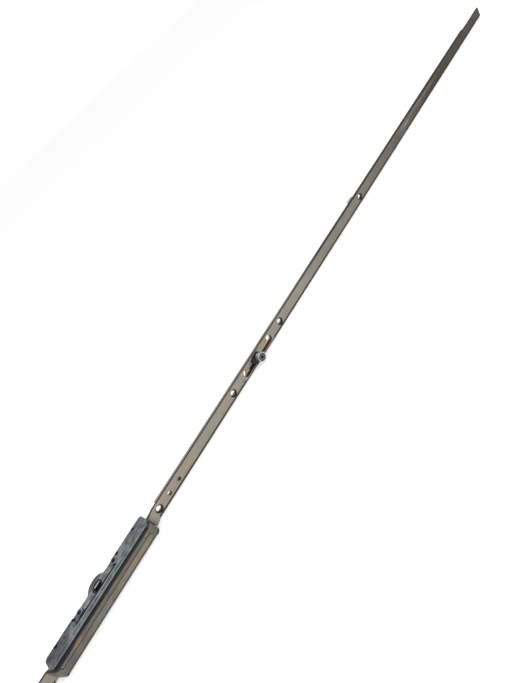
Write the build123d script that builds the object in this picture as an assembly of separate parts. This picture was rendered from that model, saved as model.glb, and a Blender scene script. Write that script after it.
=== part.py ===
from build123d import *
import math
import os

os.makedirs("parts", exist_ok=True)

# Window espagnolette gearbox: a zinc gear case with a raised front cover, a steel faceplate
# with a drive rod behind it, and a roller cam that the rod carries in a faceplate slot.
# Millimetres. X runs along the faceplate to its long end, -Y is the front of the faceplate,
# Z runs across its width. The origin is on the axis of the handle spindle, halfway across.

# Strip: faceplate and drive rod
strip_width = 12.0
plate_t = 2.0
rod_t = 3.0
rod_gap = 0.1
rod_inset = 0.3
backset = 7.5
upper_plate_end = 863.0
upper_rod_end = 807.0
lower_plate_end = -330.0
lower_rod_end = -284.0
edge_round = 0.35
front_round = 0.7

# Travel and gearing: a quarter turn of the handle moves the rods by quarter_travel
quarter_travel = 13.0
teeth_per_quarter = 4
pressure_angle = math.radians(20.0)
addendum_share = 0.8
dedendum_share = 1.0
tooth_thinning = 0.1
rack_teeth = 12
travel_room = 0.5

# Gear case
case_length = 121.0
case_front_reach = 4.8
case_back_y = 3.8
side_wall = 2.6
bulge_wall = 1.2
gear_room = 0.2
case_end_round = 3.0
case_front_round = 1.2
bulge_blend = 3.0
case_edge_round = 0.7
recess_depth = 1.0
recess_from_x = -28.0
recess_to_x = 21.0
recess_front_y = -6.2
end_block_length = 10.0
channel_back_gap = 0.2

# Spindle follower
square_size = 7.0
journal_r = 5.5
journal_gap = 0.05
follower_sink = 0.2
gear_side_gap = 0.1

# Handle screws
handle_spacing = 43.0
handle_hole_r = 2.1
handle_boss_r = 3.4

# Rivets and cast holes in the case
case_rivet_x = (38.0, -40.0)
case_rivet_y = -1.9
case_rivet_r = 1.2
case_rivet_sink = 0.15
cast_hole_x = (-48.5, -28.0, 27.0, 48.5)
cast_hole_edge = 2.7
cast_hole_r = 1.7
mark_x = -54.0
mark_y = -1.5
mark_r = 2.4
mark_line = 0.5
mark_depth = 0.2
dimple_x = -56.5
dimple_y = -9.3
dimple_depth = 0.3

# Raised cover over the gear case
cover_rise = 9.4
cover_seam = 0.25
upper_cover_share = 4.5
cover_tail_step = 2.5
cover_tail_length = 1.6
cover_tip_gap = 0.4
cover_edge_round = 1.7
nose_gap = 0.15
nose_bulge = 0.6
nose_edge_round = 1.5
joggle_inset = 3.2
joggle_run = 6.2
joggle_gap = 0.15
joggle_bend_room = 1.7
spacer_half = 3.5
cover_rivet_r = 1.25

# Raised end of the upper faceplate, under the nose of the cover
tongue_rise = 2.6
tongue_overlap = 0.5
tongue_bend_gap = 1.8
tongue_bend_run = 6.5
tongue_side_gap = 0.2
case_end_gap = 0.35

# Rack slide
rack_bar_t = 2.0
rack_side_gap = 0.3
rack_front_gap = 0.2
rack_block_margin = 0.6
rack_jog_start = 26.0
rack_jog_run = 10.0
rack_lap_length = 10.0
rod_rivet_r = 1.5

# Neck of each rod, where it enters the case
neck_half = 4.0
neck_t = 2.0
neck_side_gap = 0.2
neck_clear = 1.5

# Countersunk holes for the faceplate screws
screw_x_upper = (73.0, 192.0, 280.0, 466.0)
screw_x_lower = (-80.0, -192.0, -306.0)
screw_hole_r = 2.5
screw_sink_r = 4.0
screw_slot_gap = 0.2
shear_hole_x = 88.0
shear_hole_r = 2.1
blind_hole_x = 102.0
blind_hole_r = 2.0

# Roller cams
cam_x_upper = 235.0
cam_x_lower = -235.0
cam_slot_x_upper = 236.6
cam_slot_x_lower = -236.6
cam_slot_length = 50.0
cam_slot_width = 7.8
cam_journal_r = 2.45
cam_fit = 0.05
cam_foot_r = 3.4
cam_foot_t = 0.6
cam_disc_r = 3.9
cam_disc_t = 0.5
cam_disc_gap = 0.1
cam_height = 7.2
cam_offset = 0.8
cam_post_r = 2.2
cam_cap_r = 3.8
cam_cap_t = 0.7
cam_socket = 2.5
cam_socket_depth = 2.6
roller_r = 4.0
roller_head_r = 4.8
roller_head_t = 2.2
roller_flare = 0.8
roller_end_gap = 0.1
slider_length = 13.0
slider_side_gap = 0.15
slider_shift = 1.0
washer_length = 9.0
washer_width = 10.4
washer_t = 0.8
washer_round = 1.0
washer_gap = 0.06
retainer_length = 9.0
retainer_width = 9.0
retainer_t = 1.4
retainer_gap = 0.1
rod_window_offset = 22.4
rod_window_r = 3.0

# Plastic guide clip through the faceplate
clip_x = 456.0
clip_head_length = 8.0
clip_head_width = 6.4
clip_fit = 0.1
clip_neck_length = 7.0
clip_neck_width = 5.0
clip_foot_length = 9.0
clip_foot_depth = 3.2
clip_rod_gap = 0.2

# Coupling hole at the free end of each rod
coupling_hole_r = 2.5
coupling_hole_inset = 10.0

# Levels that follow from the sizes above
half_width = strip_width / 2
inner_half = half_width - side_wall
face_y = -backset
plate_back_y = face_y + plate_t
rod_front_y = plate_back_y + rod_gap
rod_back_y = rod_front_y + rod_t
rod_half = half_width - rod_inset
neck_back_y = rod_front_y + neck_t
cover_front_y = face_y - cover_rise
cover_back_y = cover_front_y + plate_t
case_front_y = face_y - case_front_reach
case_half = case_length / 2
end_block_x = case_half - end_block_length
nose_r = case_front_y - cover_front_y
nose_arc_x = case_half - nose_r
upper_tip_x = nose_arc_x - cover_tip_gap
upper_lap_x = upper_tip_x - cover_tail_length
lower_joggle_x = joggle_inset - case_half
lower_tip_x = lower_joggle_x + joggle_bend_room
lower_lap_x = lower_tip_x + cover_tail_length
upper_rivet_x = (nose_arc_x + end_block_x) / 2
lower_rivet_x = (lower_tip_x - end_block_x) / 2
tongue_start_x = end_block_x - tongue_overlap
tongue_bend_x = case_half + tongue_bend_gap
retainer_y = rod_back_y - retainer_t
tongue_front_y = face_y - tongue_rise
tongue_back_y = tongue_front_y + plate_t
channel_back_y = neck_back_y + channel_back_gap
pitch = quarter_travel / teeth_per_quarter
pinion_teeth = 4 * teeth_per_quarter
pitch_r = quarter_travel / (math.pi / 2)
module = pitch / math.pi
tip_r = pitch_r + addendum_share * module
root_r = pitch_r - dedendum_share * module
bulge_inner_r = tip_r + gear_room
bulge_r = bulge_inner_r + bulge_wall
bore_r = journal_r + journal_gap
recess_z = half_width - recess_depth
seam_z = half_width - upper_cover_share
rack_half = inner_half - rack_side_gap
rack_lap_x = rack_jog_start + rack_jog_run
rack_end_x = rack_lap_x + rack_lap_length
rod_rivet_x = rack_lap_x + rack_lap_length / 2
neck_end_x = case_half + quarter_travel + neck_clear
cam_top_y = face_y - cam_height
washer_back_y = face_y - washer_gap
washer_front_y = washer_back_y - washer_t
cam_disc_back_y = washer_front_y - cam_disc_gap
cam_disc_front_y = cam_disc_back_y - cam_disc_t


def block(x0, x1, y0, y1, z0, z1):
    """A box between two corners."""
    return Pos((x0 + x1) / 2, (y0 + y1) / 2, (z0 + z1) / 2) * Box(x1 - x0, y1 - y0, z1 - z0)


def rod_z(x, y, z0, z1, r):
    """A cylinder along Z."""
    return Pos(x, y, (z0 + z1) / 2) * Cylinder(r, z1 - z0)


def rod_y(x, z, y0, y1, r):
    """A cylinder along Y."""
    return Pos(x, (y0 + y1) / 2, z) * Rot(90, 0, 0) * Cylinder(r, y1 - y0)


def rod_x(x0, x1, y, z, r):
    """A cylinder along X."""
    return Pos((x0 + x1) / 2, y, z) * Rot(0, 90, 0) * Cylinder(r, x1 - x0)


def cone_y(x, z, y0, y1, r0, r1):
    """A cone along Y, of radius r0 at y0 and r1 at y1."""
    return Pos(x, (y0 + y1) / 2, z) * Rot(90, 0, 0) * Cone(r1, r0, y1 - y0)


def slot_y(x, z, y0, y1, length, width):
    """A round-ended bar through Y, lying along X."""
    bar = extrude(SlotOverall(length, width), amount=(y1 - y0) / 2, both=True)
    return Pos(x, (y0 + y1) / 2, z) * Rot(90, 0, 0) * bar


def save(solid, name):
    """Write one sub-part."""
    export_step(solid, f"parts/{name}.step")


def bent_profile(front, thickness, bend_r):
    """Section of a bent strip: its front line, thickened towards +Y, with rounded bends."""
    normals = []
    for (xa, ya), (xb, yb) in zip(front, front[1:]):
        run = math.hypot(xb - xa, yb - ya)
        normals.append((-(yb - ya) / run, (xb - xa) / run))
    ends = [normals[0]] + normals + [normals[-1]]
    back = []
    for (x, y), (ax, ay), (bx, by) in zip(front, ends, ends[1:]):
        share = thickness / (1 + ax * bx + ay * by)
        back.append((x + (ax + bx) * share, y + (ay + by) * share))
    face = make_face(Polyline(*front, *reversed(back), close=True))
    for i in range(1, len(front) - 1):
        (ax, ay), (bx, by) = normals[i - 1], normals[i]
        turns_to_back = ax * by - ay * bx > 0
        front_r = bend_r + thickness if turns_to_back else bend_r
        back_r = bend_r if turns_to_back else bend_r + thickness
        for point, radius in ((front[i], front_r), (back[i], back_r)):
            corner = face.vertices().sort_by_distance(Vector(*point, 0))[0]
            face = fillet(corner, radius)
    return face


def soften_front(plate, line, radius):
    """Round the two long front edges of a bent strip, whose front line is given."""
    def on_front(edge):
        middle = edge @ 0.5
        if abs(abs(middle.Z) - half_width) > 0.01 or abs((edge % 0.5).Y) > 0.99:
            return False
        for (xa, ya), (xb, yb) in zip(line, line[1:]):
            if xa <= middle.X <= xb:
                return middle.Y < ya + (yb - ya) * (middle.X - xa) / (xb - xa) + plate_t / 2
        return False

    return fillet(plate.edges().filter_by(on_front), radius)


def case_outline():
    """Side view of the gear case: a rounded bar with the bulge round the follower."""
    bar = Pos(0, (case_front_y + case_back_y) / 2) * Rectangle(case_length, case_back_y - case_front_y)
    backs = bar.vertices().filter_by(lambda v: v.Y > 0)
    bar = fillet(backs, case_end_round)
    fronts = bar.vertices().filter_by(lambda v: v.Y < case_front_y + 0.01)
    bar = fillet(fronts, case_front_round)
    outline = bar + Circle(bulge_r)
    chord = math.sqrt(bulge_r ** 2 - case_back_y ** 2)
    corners = outline.vertices().filter_by(
        lambda v: abs(abs(v.X) - chord) < 0.01 and abs(v.Y - case_back_y) < 0.01
    )
    return fillet(corners, bulge_blend)


def neck_groove():
    """The room that the rod necks need in both side walls of the case."""
    reach = neck_half + neck_side_gap
    start = rack_lap_x - quarter_travel - travel_room
    sides = [
        block(start, case_half + 1, rod_front_y - neck_side_gap, channel_back_y, -reach, reach),
        block(-case_half - 1, -start, rod_front_y - neck_side_gap, channel_back_y, -reach, reach),
    ]
    return sides[0] + sides[1]


def cover_room():
    """The corners that the case gives up to the nose and to the joggle of the cover."""
    top = half_width + 1
    nose = block(
        case_half - plate_t - nose_gap, case_half + 1, case_front_y - 1, tongue_front_y, -top, top
    )
    slope = math.hypot(joggle_run, cover_rise)
    normal = (cover_rise / slope, joggle_run / slope)

    def back_x(y):
        """Where the back of the joggle is at a depth, with a gap."""
        return lower_joggle_x + (plate_t + joggle_gap - (y - cover_front_y) * normal[1]) / normal[0]

    far_x = -case_half - joggle_run
    corner = Polyline(
        (back_x(cover_front_y), cover_front_y), (back_x(0), 0), (far_x, 0), (far_x, cover_front_y),
        close=True,
    )
    return nose + extrude(make_face(corner), amount=top, both=True)


def case_holes():
    """Holes that run through both halves of the case."""
    holes = rod_z(0, 0, -half_width - 1, half_width + 1, bore_r)
    for side in (-1, 1):
        holes += rod_z(side * handle_spacing / 2, 0, -half_width - 1, half_width + 1, handle_hole_r)
    for x in case_rivet_x:
        holes += rod_z(x, case_rivet_y, -half_width - 1, half_width + 1, case_rivet_r)
    return holes


def make_gear_case():
    """The zinc case, open at the front and at its hidden side."""
    case = extrude(case_outline(), amount=half_width + inner_half)
    case = Pos(0, 0, -inner_half) * case
    rim = case.edges().filter_by_position(Axis.Z, half_width - 0.01, half_width + 0.01)
    case = fillet(rim, case_edge_round)
    recess = block(recess_from_x, recess_to_x, recess_front_y, bulge_r + 1, recess_z, half_width + 1)
    for side in (-1, 1):
        recess -= rod_z(side * handle_spacing / 2, 0, recess_z - 1, half_width + 2, handle_boss_r)
    case -= recess
    case -= block(-end_block_x, end_block_x, case_front_y - 1, channel_back_y, -inner_half, inner_half)
    case -= block(
        -case_half - 1, case_half + 1, tongue_front_y - rod_gap, channel_back_y, -inner_half, inner_half
    )
    case -= rod_z(0, 0, -inner_half, inner_half, bulge_inner_r)
    case -= neck_groove()
    case -= cover_room()
    case -= case_holes()
    for x in cast_hole_x:
        case -= rod_z(x, case_back_y - cast_hole_edge, -inner_half - 1, half_width + 1, cast_hole_r)
    for x in (lower_rivet_x, upper_rivet_x):
        case -= rod_y(x, 0, case_front_y - 1, tongue_front_y + 1, cover_rivet_r)
    mark_z = half_width - mark_depth
    mark = rod_z(mark_x, mark_y, mark_z, half_width + 1, mark_r)
    mark -= rod_z(mark_x, mark_y, mark_z - 1, half_width + 2, mark_r - mark_line)
    case -= mark
    case -= Pos(dimple_x, dimple_y, half_width) * scale(Sphere(dimple_depth), by=(3, 5, 1))
    return case


def make_gear_case_cover():
    """The flat half of the case, on the hidden side."""
    plate = Pos(0, 0, -half_width) * extrude(case_outline(), amount=side_wall)
    rim = plate.edges().filter_by_position(Axis.Z, -half_width - 0.01, -half_width + 0.01)
    plate = fillet(rim, case_edge_round)
    return plate - neck_groove() - cover_room() - case_holes()


def make_case_rivets():
    """Steel pins that hold the two halves of the case together."""
    top = half_width - case_rivet_sink
    return [rod_z(x, case_rivet_y, -half_width, top, case_rivet_r) for x in case_rivet_x]


def tooth_half_angle(radius):
    """Half the angle that a pinion tooth fills at a radius."""
    base_r = pitch_r * math.cos(pressure_angle)
    half_pitch = (pitch / 2 - tooth_thinning) / (2 * pitch_r)
    roll = math.acos(min(1.0, base_r / radius))
    pitch_inv = math.tan(pressure_angle) - pressure_angle
    return half_pitch + pitch_inv - (math.tan(roll) - roll)


def polar(radius, angle):
    """Point at a radius and an angle about the spindle."""
    return (radius * math.cos(angle), radius * math.sin(angle))


def pinion_face():
    """Involute pinion, with one tooth pointing to the rack at rest."""
    base_r = pitch_r * math.cos(pressure_angle)
    step = 2 * math.pi / pinion_teeth
    edges = []
    for i in range(pinion_teeth):
        mid = -math.pi / 2 + i * step
        for side in (-1, 1):
            foot = mid + side * tooth_half_angle(base_r)
            flank = [polar(r, mid + side * tooth_half_angle(r)) for r in (base_r, pitch_r, tip_r)]
            edges.append(Line(polar(root_r, foot), flank[0]))
            edges.append(ThreePointArc(*flank))
        top = tooth_half_angle(tip_r)
        edges.append(ThreePointArc(polar(tip_r, mid - top), polar(tip_r, mid), polar(tip_r, mid + top)))
        foot = tooth_half_angle(base_r)
        edges.append(
            ThreePointArc(
                polar(root_r, mid + foot), polar(root_r, mid + step / 2), polar(root_r, mid + step - foot)
            )
        )
    return make_face(edges)


def make_spindle_follower():
    """Pinion with a square hole for the handle spindle and a journal on each side."""
    gear_half = inner_half - gear_side_gap
    gear = extrude(pinion_face(), amount=gear_half, both=True)
    reach = recess_z - follower_sink
    gear += rod_z(0, 0, -reach, reach, journal_r)
    return gear - block(
        -square_size / 2, square_size / 2, -square_size / 2, square_size / 2, -half_width, half_width
    )


def make_rack_slide():
    """Rack in front of the pinion, jogged back at both ends to the plane of the rods."""
    front_y = cover_back_y + rack_front_gap
    bar_back_y = front_y + rack_bar_t
    lap_front_y = rod_front_y - rack_bar_t
    tip_y = -pitch_r + addendum_share * module
    root_y = -pitch_r - dedendum_share * module
    half_tooth = (pitch / 2 - tooth_thinning) / 2
    tip_half = half_tooth - addendum_share * module * math.tan(pressure_angle)
    root_half = half_tooth + dedendum_share * module * math.tan(pressure_angle)
    block_x = rack_teeth * pitch / 2 + rack_block_margin
    lean = rack_bar_t * (bar_back_y - rod_front_y) / rack_jog_run
    outer = [
        (rack_jog_start - lean / 2, front_y),
        (rack_lap_x - lean / 2, lap_front_y),
        (rack_end_x, lap_front_y),
        (rack_end_x, rod_front_y),
        (rack_lap_x + lean / 2, rod_front_y),
        (rack_jog_start + lean / 2, bar_back_y),
        (block_x, bar_back_y),
        (block_x, root_y),
    ]
    teeth = []
    for i in range(rack_teeth):
        mid = ((rack_teeth - 1) / 2 - i) * pitch
        teeth += [
            (mid + root_half, root_y),
            (mid + tip_half, tip_y),
            (mid - tip_half, tip_y),
            (mid - root_half, root_y),
        ]
    mirrored = [(-x, y) for x, y in reversed(outer)]
    face = make_face(Polyline(*outer, *teeth, *mirrored, close=True))
    rack = extrude(face, amount=rack_half, both=True)
    for side in (-1, 1):
        rack -= rod_y(side * rod_rivet_x, 0, lap_front_y - 1, rod_front_y + 1, rod_rivet_r)
    return rack


def make_rod_rivets():
    """Flush rivets that join the rack slide to the two drive rods."""
    lap_front_y = rod_front_y - rack_bar_t
    return [rod_y(side * rod_rivet_x, 0, lap_front_y, neck_back_y, rod_rivet_r) for side in (-1, 1)]


def drive_rod(side, end_x, cam_x, slot_x, screw_x, clips):
    """One drive rod: side is 1 for the upper rod and -1 for the lower one."""
    x0, x1 = sorted((side * rack_lap_x, end_x))
    n0, n1 = sorted((side * neck_end_x, end_x))
    rod = block(x0, x1, rod_front_y, neck_back_y, -neck_half, neck_half)
    wide = block(n0, n1, rod_front_y, rod_back_y, -rod_half, rod_half)
    wide = fillet(wide.edges().filter_by(Axis.X), edge_round)
    rod += wide
    rod -= rod_y(side * rod_rivet_x, 0, rod_front_y - 1, rod_back_y + 1, rod_rivet_r)
    slot_half = screw_hole_r + screw_slot_gap
    for x in screw_x:
        if abs(x) + quarter_travel > abs(end_x):
            continue
        start = x - quarter_travel - slot_half
        stop = x + quarter_travel + slot_half
        if side > 0 and start < shear_hole_x < stop + shear_hole_r:
            stop = max(stop, shear_hole_x + shear_hole_r + screw_slot_gap)
        rod -= slot_y((start + stop) / 2, 0, rod_front_y - 1, rod_back_y + 1, stop - start, 2 * slot_half)
    for x in clips:
        length = clip_neck_length + 2 * (quarter_travel + travel_room)
        width = clip_neck_width + 2 * clip_rod_gap
        rod -= slot_y(x, 0, rod_front_y - 1, rod_back_y + 1, length + width, width)
    rod -= rod_y(cam_x, 0, rod_front_y - 1, rod_back_y + 1, cam_journal_r + cam_fit)
    reach = retainer_length / 2 + retainer_gap
    wide = retainer_width / 2 + retainer_gap
    rod -= block(cam_x - reach, cam_x + reach, retainer_y - retainer_gap, rod_back_y + 1, -wide, wide)
    for along in (-1, 1):
        window_x = slot_x + along * rod_window_offset
        rod -= rod_y(window_x, 0, rod_front_y - 1, rod_back_y + 1, rod_window_r)
    rod -= rod_y(
        end_x - side * coupling_hole_inset, 0, rod_front_y - 1, rod_back_y + 1, coupling_hole_r
    )
    return rod


def screw_hole(x):
    """Countersunk screw hole in the faceplate."""
    sink = screw_sink_r - screw_hole_r
    hole = rod_y(x, 0, face_y - 1, plate_back_y + 1, screw_hole_r)
    return hole + cone_y(x, 0, face_y, face_y + sink, screw_sink_r, screw_hole_r)


def cam_slot(x):
    """Slot that lets a cam travel along the faceplate."""
    return slot_y(x, 0, face_y - 1, plate_back_y + 1, cam_slot_length, cam_slot_width)


def make_upper_faceplate():
    """Long faceplate; its inner end steps out and narrows to a tongue inside the case."""
    line = [
        (tongue_start_x, tongue_front_y),
        (tongue_bend_x, tongue_front_y),
        (tongue_bend_x + tongue_bend_run, face_y),
        (upper_plate_end, face_y),
    ]
    plate = extrude(bent_profile(line, plate_t, plate_t / 2), amount=half_width, both=True)
    plate = soften_front(plate, line, front_round)
    tongue_half = inner_half - tongue_side_gap
    shoulder_x = case_half + case_end_gap
    for side in (-1, 1):
        z0, z1 = sorted((side * tongue_half, side * (half_width + 1)))
        plate -= block(tongue_start_x - 1, shoulder_x, tongue_front_y - 1, tongue_back_y + 1, z0, z1)
    for x in screw_x_upper:
        plate -= screw_hole(x)
    plate -= rod_y(shear_hole_x, 0, face_y - 1, plate_back_y + 1, shear_hole_r)
    plate -= rod_y(blind_hole_x, 0, face_y - 1, plate_back_y + 1, blind_hole_r)
    plate -= cam_slot(cam_slot_x_upper)
    plate -= block(
        clip_x - clip_head_length / 2, clip_x + clip_head_length / 2,
        face_y - 1, plate_back_y + 1,
        -clip_head_width / 2, clip_head_width / 2,
    )
    return plate - rod_y(upper_rivet_x, 0, tongue_front_y - 1, tongue_back_y + 1, cover_rivet_r)


def make_lower_faceplate():
    """Lower faceplate, joggled out over the gear case, where it narrows to lap the upper cover."""
    line = [
        (lower_plate_end, face_y),
        (lower_joggle_x - joggle_run, face_y),
        (lower_joggle_x, cover_front_y),
        (upper_tip_x, cover_front_y),
    ]
    plate = extrude(bent_profile(line, plate_t, plate_t / 2), amount=half_width, both=True)
    plate = soften_front(plate, line, front_round)
    cut_y0 = cover_front_y - 1
    cut_y1 = cover_back_y + 1
    top = half_width + 1
    end_x = upper_tip_x + 1
    plate -= block(lower_lap_x, end_x, cut_y0, cut_y1, seam_z - cover_seam, top)
    plate -= block(
        lower_tip_x, lower_lap_x + 1, cut_y0, cut_y1, seam_z + cover_tail_step - cover_seam, top
    )
    plate -= block(upper_lap_x, end_x, cut_y0, cut_y1, seam_z - cover_tail_step - cover_seam, top)
    round_y = cover_front_y + cover_edge_round
    round_z = cover_edge_round - half_width
    corner = block(lower_tip_x, end_x, cut_y0, round_y, -top, round_z)
    plate -= corner - rod_x(lower_tip_x - 1, end_x + 1, round_y, round_z, cover_edge_round)
    for x in screw_x_lower:
        plate -= screw_hole(x)
    return plate - cam_slot(cam_slot_x_lower)


def make_upper_cover():
    """Upper half of the raised cover, with the rounded nose that closes its end."""
    low = -half_width - nose_bulge
    inner_r = nose_r - plate_t
    inner_x = case_half - plate_t
    slant = math.sqrt(0.5)
    outer = [
        Line((lower_tip_x, cover_front_y), (nose_arc_x, cover_front_y)),
        ThreePointArc(
            (nose_arc_x, cover_front_y),
            (nose_arc_x + nose_r * slant, case_front_y - nose_r * slant),
            (case_half, case_front_y),
        ),
        Line((case_half, case_front_y), (case_half, tongue_front_y)),
        Line((case_half, tongue_front_y), (inner_x, tongue_front_y)),
        Line((inner_x, tongue_front_y), (inner_x, case_front_y)),
        ThreePointArc(
            (inner_x, case_front_y),
            (nose_arc_x + inner_r * slant, case_front_y - inner_r * slant),
            (nose_arc_x, cover_back_y),
        ),
        Line((nose_arc_x, cover_back_y), (lower_tip_x, cover_back_y)),
        Line((lower_tip_x, cover_back_y), (lower_tip_x, cover_front_y)),
    ]
    cover = Pos(0, 0, low) * extrude(make_face(outer), amount=half_width - low)

    def on_front(edge):
        middle = edge @ 0.5
        off_arc = math.hypot(middle.X - nose_arc_x, middle.Y - case_front_y) - nose_r
        return middle.Y < cover_front_y + 0.01 or (middle.X > nose_arc_x and off_arc > -0.01)

    rim = cover.edges().filter_by_position(Axis.Z, low - 0.01, low + 0.01)
    cover = fillet(rim.filter_by(on_front), nose_edge_round)
    cut_y0 = cover_front_y - 1
    cut_y1 = cover_back_y + 1
    start_x = lower_tip_x - 1
    cover -= block(start_x, upper_lap_x + cover_seam, cut_y0, cut_y1, low - 1, seam_z)
    cover -= block(
        start_x, lower_lap_x + cover_seam, cut_y0, cut_y1, low - 1, seam_z + cover_tail_step
    )
    cover -= block(
        upper_lap_x - 1, upper_tip_x + cover_seam, cut_y0, cut_y1, low - 1, seam_z - cover_tail_step
    )
    return cover


def make_cover_spacer(inner_x, outer_x, rivet_x):
    """Steel block that carries the raised cover on one end of the case."""
    x0, x1 = sorted((inner_x, outer_x))
    spacer = block(x0, x1, cover_back_y, case_front_y, -spacer_half, spacer_half)
    return spacer - rod_y(rivet_x, 0, cover_back_y - 1, case_front_y + 1, cover_rivet_r)


def make_upper_spacer():
    """Spacer at the nose of the cover, with a wedge that fills the nose from side to side."""
    wedge = rod_z(nose_arc_x, case_front_y, -half_width, half_width, nose_r - plate_t - nose_gap)
    wedge &= block(nose_arc_x, case_half, cover_back_y, case_front_y, -half_width, half_width)
    return wedge + make_cover_spacer(end_block_x, nose_arc_x, upper_rivet_x)


def make_cover_rivets():
    """Rivets through the spacers and the end blocks of the case; the upper one holds the tongue too."""
    upper = rod_y(upper_rivet_x, 0, cover_back_y, tongue_back_y, cover_rivet_r)
    lower = rod_y(lower_rivet_x, 0, cover_back_y, tongue_front_y - rod_gap, cover_rivet_r)
    return [upper, lower]


def make_cam_pin(x):
    """Eccentric pin that turns in the rod; its post stands off the turning axis."""
    foot_y = rod_back_y - cam_foot_t
    pin = rod_y(x, 0, foot_y, rod_back_y, cam_foot_r)
    pin += rod_y(x, 0, cam_disc_back_y, foot_y, cam_journal_r)
    pin += rod_y(x, 0, cam_disc_front_y, cam_disc_back_y, cam_disc_r)
    pin += rod_y(x + cam_offset, 0, cam_top_y, cam_disc_front_y, cam_post_r)
    pin += rod_y(x + cam_offset, 0, cam_top_y, cam_top_y + cam_cap_t, cam_cap_r)
    socket = extrude(RegularPolygon(cam_socket / 2, 6, major_radius=False), amount=cam_socket_depth)
    return pin - Pos(x + cam_offset, cam_top_y, 0) * Rot(-90, 0, 0) * socket


def make_cam_roller(x):
    """Mushroom roller that spins on the post of the pin."""
    start_y = cam_disc_front_y - roller_end_gap
    head_y = cam_top_y + roller_head_t
    seat_y = cam_top_y + cam_cap_t + roller_end_gap
    roller = rod_y(x + cam_offset, 0, head_y, start_y, roller_r)
    roller += cone_y(x + cam_offset, 0, head_y - roller_flare, head_y, roller_head_r, roller_r)
    roller += rod_y(x + cam_offset, 0, cam_top_y, head_y - roller_flare, roller_head_r)
    roller -= rod_y(x + cam_offset, 0, cam_top_y - 1, seat_y, cam_cap_r + roller_end_gap)
    return roller - rod_y(x + cam_offset, 0, cam_top_y, start_y + 1, cam_post_r + cam_fit)


def make_cam_slider(x):
    """Plastic shoe that guides the cam in the faceplate slot; it is longer on one side of the pin."""
    width = cam_slot_width - 2 * slider_side_gap
    shoe = slot_y(x - slider_shift, 0, washer_back_y, rod_front_y, slider_length, width)
    return shoe - rod_y(x, 0, face_y - 1, rod_front_y + 1, cam_journal_r + cam_fit)


def make_cam_washer(x):
    """Plastic plate on the shoe, under the roller; it slides along the front of the faceplate."""
    reach = washer_length / 2
    wide = washer_width / 2
    start_x = x - slider_shift - reach
    stop_x = x - slider_shift + reach
    washer = block(start_x, stop_x, washer_front_y, washer_back_y, -wide, wide)
    washer = fillet(washer.edges().filter_by(Axis.Y), washer_round)
    return washer - rod_y(x, 0, washer_front_y - 1, washer_back_y + 1, cam_journal_r + cam_fit)


def make_cam_retainer(x):
    """Plastic bearing plate of the pin, let into a pocket in the back of the rod."""
    reach = retainer_length / 2
    wide = retainer_width / 2
    saddle = block(x - reach, x + reach, retainer_y, rod_back_y, -wide, wide)
    seat_y = rod_back_y - cam_foot_t - retainer_gap
    saddle -= rod_y(x, 0, seat_y, rod_back_y + 1, cam_foot_r + retainer_gap)
    return saddle - rod_y(x, 0, retainer_y - 1, rod_back_y, cam_journal_r + cam_fit)


def make_guide_clip():
    """Plastic clip: a head in the faceplate window, a neck through the rod and a foot behind it."""
    head = block(
        clip_x - clip_head_length / 2 + clip_fit, clip_x + clip_head_length / 2 - clip_fit,
        face_y, plate_back_y,
        -clip_head_width / 2 + clip_fit, clip_head_width / 2 - clip_fit,
    )
    foot_y = rod_back_y + clip_rod_gap
    neck_x = clip_neck_length / 2
    neck_z = clip_neck_width / 2
    neck = block(clip_x - neck_x, clip_x + neck_x, plate_back_y, foot_y, -neck_z, neck_z)
    foot = block(
        clip_x - clip_foot_length / 2, clip_x + clip_foot_length / 2,
        foot_y, foot_y + clip_foot_depth,
        -rod_half, rod_half,
    )
    return head + neck + foot


save(make_gear_case(), "gear_case")
save(make_gear_case_cover(), "gear_case_cover")
save(Compound(make_case_rivets()), "case_rivets")
save(make_spindle_follower(), "spindle_follower")
save(make_rack_slide(), "rack_slide")
save(Compound(make_rod_rivets()), "rod_rivets")
upper_rod = drive_rod(1, upper_rod_end, cam_x_upper, cam_slot_x_upper, screw_x_upper, (clip_x,))
save(upper_rod, "upper_drive_rod")
lower_rod = drive_rod(-1, lower_rod_end, cam_x_lower, cam_slot_x_lower, screw_x_lower, ())
save(lower_rod, "lower_drive_rod")
save(make_upper_faceplate(), "upper_faceplate")
save(make_lower_faceplate(), "lower_faceplate")
save(make_upper_cover(), "upper_cover")
save(make_upper_spacer(), "upper_cover_spacer")
save(make_cover_spacer(-end_block_x, lower_tip_x, lower_rivet_x), "lower_cover_spacer")
save(Compound(make_cover_rivets()), "cover_rivets")
for place, cam_x in (("upper", cam_x_upper), ("lower", cam_x_lower)):
    save(make_cam_pin(cam_x), f"{place}_cam_pin")
    save(make_cam_roller(cam_x), f"{place}_cam_roller")
    save(make_cam_slider(cam_x), f"{place}_cam_slider")
    save(make_cam_washer(cam_x), f"{place}_cam_washer")
    save(make_cam_retainer(cam_x), f"{place}_cam_retainer")
save(make_guide_clip(), "guide_clip")
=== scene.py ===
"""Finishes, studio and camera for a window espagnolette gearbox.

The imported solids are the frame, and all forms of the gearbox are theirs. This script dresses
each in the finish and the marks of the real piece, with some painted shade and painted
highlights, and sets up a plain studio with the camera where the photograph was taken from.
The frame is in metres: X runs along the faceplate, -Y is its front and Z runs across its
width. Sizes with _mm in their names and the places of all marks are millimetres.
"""

import logging
import math
from dataclasses import dataclass, field
from enum import Enum

import bpy
from mathutils import Matrix, Vector


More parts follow.
